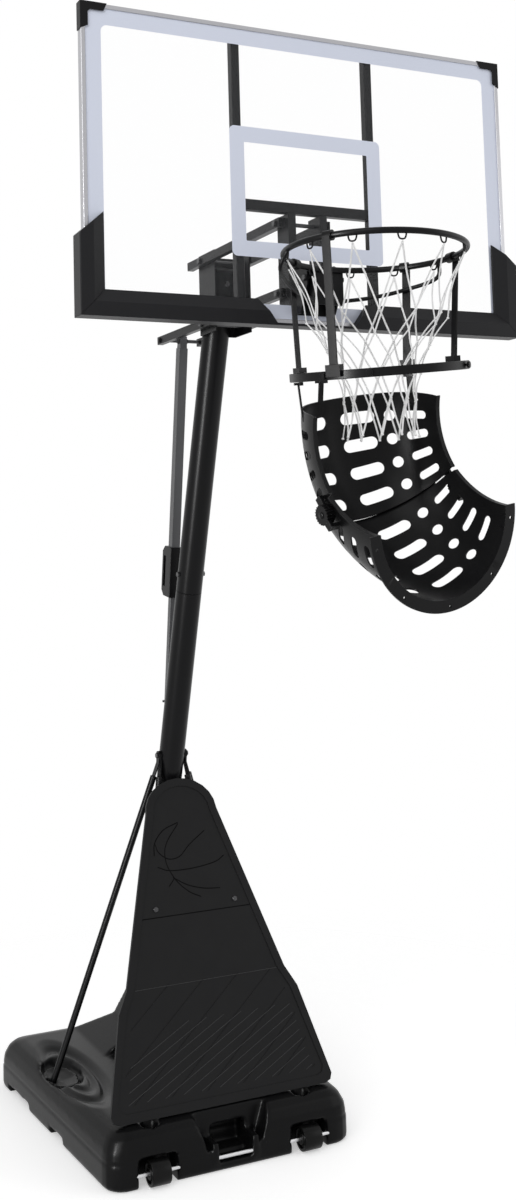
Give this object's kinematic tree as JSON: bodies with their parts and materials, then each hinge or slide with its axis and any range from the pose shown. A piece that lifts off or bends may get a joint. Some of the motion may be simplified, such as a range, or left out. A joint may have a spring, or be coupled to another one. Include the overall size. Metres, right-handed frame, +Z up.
{
  "type": "basketball stand with return chute",
  "caption": "Portable basketball stand: water-filled base, leaning pole, clear backboard on height-adjusting arms, breakaway rim with net, and a slotted chute that returns the ball.",
  "frame": {"origin": "centre of the base tank's underside, on the floor", "axes": "+Z up, -Y out in front of the backboard towards the player, +X to the right of someone who faces the backboard"},
  "size_m": [1.376, 2.2078, 3.3235],
  "materials": {
    "tank_plastic": "blow-moulded black plastic, faint grain",
    "wheel_plastic": "moulded black plastic",
    "bright_steel": "bright zinc-plated steel",
    "coated_steel": "satin black powder coat",
    "bolt_steel": "blackened steel",
    "cover_plastic": "matte dark grey moulded plastic",
    "tube_steel": "dark grey coated steel tube",
    "grip_plastic": "smooth black plastic",
    "clear_panel": "clear panel with a pale printed border and target",
    "frame_aluminium": "satin anodised aluminium",
    "cap_plastic": "black moulded plastic",
    "pad_rubber": "dark grey foam rubber, satin skin",
    "net_cord": "white braided cord",
    "chute_plastic": "satin black moulded plastic"
  },
  "bodies": {
    "stand": {"base_tank": "tank_plastic", "fill_cap": "tank_plastic", "wheel_axle": "bright_steel", "pole_lower": "coated_steel", "pole_middle": "coated_steel", "pole_upper": "coated_steel", "pole_seam_bolt": "bolt_steel", "pole_head_bolt": "bolt_steel", "pole_foot_bolt": "bolt_steel", "pole_head_channel": "coated_steel", "arm_pivot_lower": "bolt_steel", "arm_pivot_upper": "bolt_steel", "adjuster_lug": "coated_steel", "front_cover": "cover_plastic", "cover_screw_left": "bolt_steel", "cover_screw_right": "bolt_steel", "strut_bolt": "bolt_steel", "front_brace_left": "coated_steel", "front_brace_right": "coated_steel", "rear_strut_left": "coated_steel", "rear_strut_right": "coated_steel"},
    "left_wheel": {"wheel_left": "wheel_plastic"},
    "right_wheel": {"wheel_right": "wheel_plastic"},
    "lower_arms": {"lower_arm_left": "coated_steel", "lower_arm_right": "coated_steel"},
    "upper_arms": {"upper_arm_left": "coated_steel", "upper_arm_right": "coated_steel"},
    "carriage": {"backboard_panel": "clear_panel", "frame_rail_top": "frame_aluminium", "frame_rail_bottom": "frame_aluminium", "frame_rail_left": "frame_aluminium", "frame_rail_right": "frame_aluminium", "corner_cap_left": "cap_plastic", "corner_cap_right": "cap_plastic", "board_pad_left": "pad_rubber", "board_pad_right": "pad_rubber", "board_pad_bottom": "pad_rubber", "rear_tube_left": "coated_steel", "rear_tube_right": "coated_steel", "centre_post_left": "coated_steel", "centre_post_right": "coated_steel", "rear_crossbar": "coated_steel", "carriage_bolt_lower": "bolt_steel", "carriage_bolt_upper": "bolt_steel", "rim_bracket": "coated_steel", "rim_hinge_pin": "bolt_steel"},
    "inner_rod": {"adjuster_rod": "tube_steel"},
    "outer_tube": {"adjuster_tube": "tube_steel", "adjuster_pin": "bolt_steel", "adjuster_grip": "grip_plastic"},
    "trigger": {"adjuster_trigger": "grip_plastic"},
    "rim": {"rim_ring": "coated_steel", "net": "net_cord", "hanger_1": "chute_plastic", "hanger_2": "chute_plastic", "hanger_3": "chute_plastic", "hanger_4": "chute_plastic", "carrier_ring": "chute_plastic"},
    "upper_chute": {"chute_upper": "chute_plastic"},
    "lower_chute": {"chute_lower": "chute_plastic"}
  },
  "joints": [
    {"name": "left_wheel_roll", "type": "hinge", "parent": "stand", "child": "left_wheel", "pos_m": [-0.255, -0.492, 0.039], "axis": [1, 0, 0], "continuous": true},
    {"name": "right_wheel_roll", "type": "hinge", "parent": "stand", "child": "right_wheel", "pos_m": [0.255, -0.492, 0.039], "axis": [1, 0, 0], "continuous": true},
    {"name": "height_adjust", "type": "hinge", "parent": "stand", "child": "lower_arms", "pos_m": [0, -0.56884, 2.582], "axis": [-1, 0, 0], "range_deg": [-30, 35]},
    {"name": "upper_arm_turn", "type": "hinge", "parent": "stand", "child": "upper_arms", "pos_m": [0, -0.56884, 2.782], "axis": [-1, 0, 0], "range_deg": [-31, 36]},
    {"name": "board_level", "type": "hinge", "parent": "lower_arms", "child": "carriage", "pos_m": [0, -1.08384, 2.582], "axis": [-1, 0, 0], "range_deg": [-36, 31]},
    {"name": "adjuster_swing", "type": "hinge", "parent": "stand", "child": "inner_rod", "pos_m": [0, -0.03842, 1.36], "axis": [1, 0, 0], "range_deg": [-2, 2.2]},
    {"name": "adjuster_slide", "type": "slide", "parent": "inner_rod", "child": "outer_tube", "axis": [0, -0.1556, 0.9878], "range_m": [-0.2, 0.17]},
    {"name": "trigger_pull", "type": "slide", "parent": "outer_tube", "child": "trigger", "axis": [0, 0.9878, 0.1556], "range_m": [0, 0.01], "stiffness_N_per_m": 400, "springref_m": -0.004},
    {"name": "rim_breakaway", "type": "hinge", "parent": "carriage", "child": "rim", "pos_m": [0, -1.19914, 2.607], "axis": [1, 0, 0], "range_deg": [0, 20], "stiffness_Nm_per_rad": 220, "springref_deg": -22.92},
    {"name": "chute_swivel", "type": "hinge", "parent": "rim", "child": "upper_chute", "pos_m": [0, -1.46684, 2.3157], "axis": [-0.1006, -0.0906, 0.9908], "continuous": true},
    {"name": "chute_tilt", "type": "hinge", "parent": "upper_chute", "child": "lower_chute", "pos_m": [0.0535, -1.42886, 1.99218], "axis": [-0.9807, -0.0913, -0.1729], "range_deg": [0, 12]}
  ],
  "couplings": [
    {"joint": "upper_arm_turn", "follows": "height_adjust", "ratio": 1},
    {"joint": "board_level", "follows": "height_adjust", "ratio": -1},
    {"joint": "adjuster_swing", "follows": "height_adjust", "ratio": 0.05},
    {"joint": "adjuster_slide", "follows": "height_adjust", "m_per_rad": -0.31}
  ]
}
